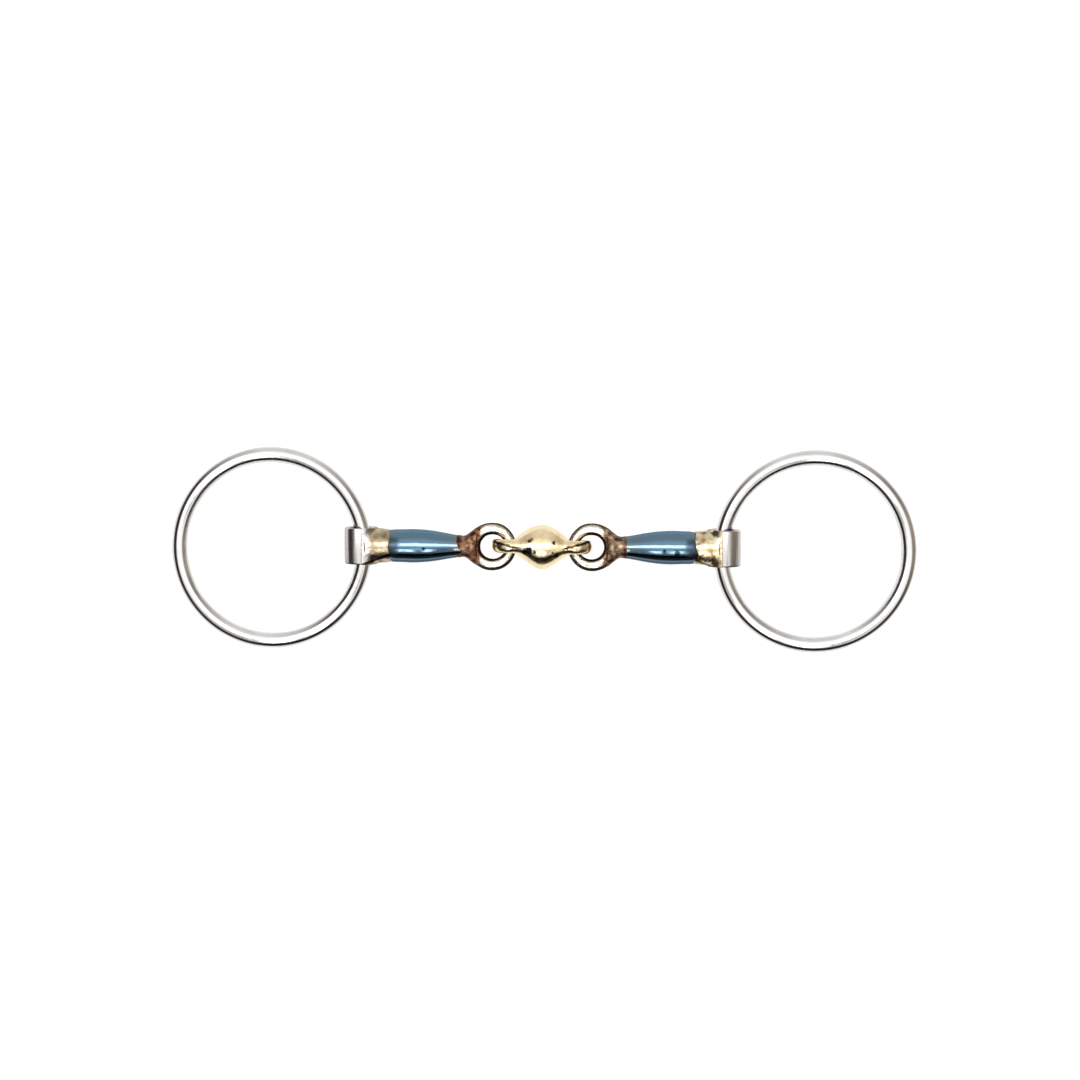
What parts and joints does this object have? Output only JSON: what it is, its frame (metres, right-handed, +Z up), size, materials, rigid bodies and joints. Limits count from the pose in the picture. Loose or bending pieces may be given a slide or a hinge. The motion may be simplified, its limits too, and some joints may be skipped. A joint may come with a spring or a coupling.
{
  "type": "snaffle bit",
  "caption": "Double-jointed loose-ring snaffle bit: blued cannons and a brass lozenge between round steel rings that run through sleeves.",
  "frame": {"origin": "on the surface the bit lies on, under the middle of the bit, on the line through the centres of the two rings", "axes": "+X along the bit towards the right ring, +Y across it in the plane of the rings, +Z up from the surface"},
  "size_m": [0.2602, 0.0706, 0.0155],
  "materials": {
    "brass": "polished cast brass with slight mottling",
    "eye_metal": "polished wire with a thin brassy film and small pits",
    "heat_tinted_braze": "brown heat-tinted braze, streaky and slightly rough",
    "golden_braze": "golden braze, lumpy, filed and polished",
    "blued_steel": "heat-blued steel, glossy",
    "sleeve_steel": "polished steel tube",
    "ring_steel": "mirror-polished stainless steel"
  },
  "bodies": {
    "lozenge": {"lozenge": "brass"},
    "left_eye": {"left_eye": "eye_metal"},
    "left_cannon": {"left_barrel": "blued_steel", "left_eye_braze": "heat_tinted_braze", "left_sleeve_braze": "golden_braze"},
    "left_sleeve": {"left_sleeve": "sleeve_steel"},
    "left_ring": {"left_ring": "ring_steel"},
    "right_eye": {"right_eye": "eye_metal"},
    "right_cannon": {"right_barrel": "blued_steel", "right_eye_braze": "heat_tinted_braze", "right_sleeve_braze": "golden_braze"},
    "right_sleeve": {"right_sleeve": "sleeve_steel"},
    "right_ring": {"right_ring": "ring_steel"}
  },
  "joints": [
    {"name": "left_fold", "type": "hinge", "parent": "lozenge", "child": "left_eye", "pos_m": [-0.0109, 0.0012, 0.0073], "axis": [0, 1, 0], "range_deg": [-100, 100]},
    {"name": "left_turn", "type": "hinge", "parent": "left_eye", "child": "left_cannon", "pos_m": [-0.01735, 0.0012, 0.00714], "axis": [-0.0253, 0, 0.9997], "range_deg": [-100, 100]},
    {"name": "left_ring_swing", "type": "hinge", "parent": "left_cannon", "child": "left_sleeve", "pos_m": [-0.0635, 0.0012, 0.00597], "axis": [0, 1, 0], "range_deg": [-150, 150]},
    {"name": "left_ring_slide", "type": "hinge", "parent": "left_sleeve", "child": "left_ring", "pos_m": [-0.0948, 0, 0.00411], "axis": [-0.0433, 0, 0.9991], "continuous": true},
    {"name": "right_fold", "type": "hinge", "parent": "lozenge", "child": "right_eye", "pos_m": [0.0109, 0.0012, 0.0073], "axis": [0, 1, 0], "range_deg": [-100, 100]},
    {"name": "right_turn", "type": "hinge", "parent": "right_eye", "child": "right_cannon", "pos_m": [0.01735, 0.0012, 0.00714], "axis": [0.0253, 0, 0.9997], "range_deg": [-100, 100]},
    {"name": "right_ring_swing", "type": "hinge", "parent": "right_cannon", "child": "right_sleeve", "pos_m": [0.0635, 0.0012, 0.00597], "axis": [0, 1, 0], "range_deg": [-150, 150]},
    {"name": "right_ring_slide", "type": "hinge", "parent": "right_sleeve", "child": "right_ring", "pos_m": [0.0948, 0, 0.00411], "axis": [0.0433, 0, 0.9991], "continuous": true}
  ]
}
